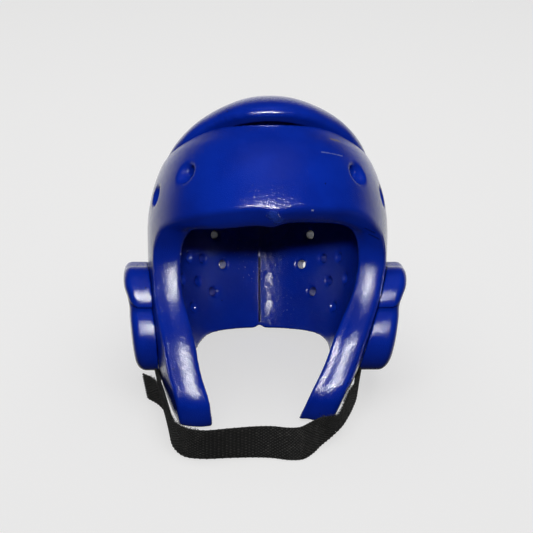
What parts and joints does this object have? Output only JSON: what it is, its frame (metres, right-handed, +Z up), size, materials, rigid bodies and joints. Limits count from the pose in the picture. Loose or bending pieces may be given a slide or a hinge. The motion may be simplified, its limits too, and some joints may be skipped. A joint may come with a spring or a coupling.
{
  "type": "sparring head guard",
  "caption": "Dipped-foam sparring head guard with an open face, a raised crown pad over a crescent vent, ear pads and a webbing chin strap closed with hook and loop.",
  "frame": {"origin": "middle of the whole part's box, on the floor that it stands on", "axes": "+Z up from the floor, the face opening towards -Y, the wearer's left ear towards +X"},
  "size_m": [0.2284, 0.2686, 0.2327],
  "materials": {
    "dipped_blue": "royal blue vinyl skin dipped over foam, soft gloss, lightly pebbled, with scuffs",
    "webbing_black": "black woven webbing with hook and loop faces, matt"
  },
  "bodies": {
    "root": {"shell": "dipped_blue", "crown_pad": "dipped_blue", "ear_pad_left": "dipped_blue", "ear_pad_right": "dipped_blue", "strap_long": "webbing_black", "strap_short": "webbing_black"}
  },
  "joints": []
}
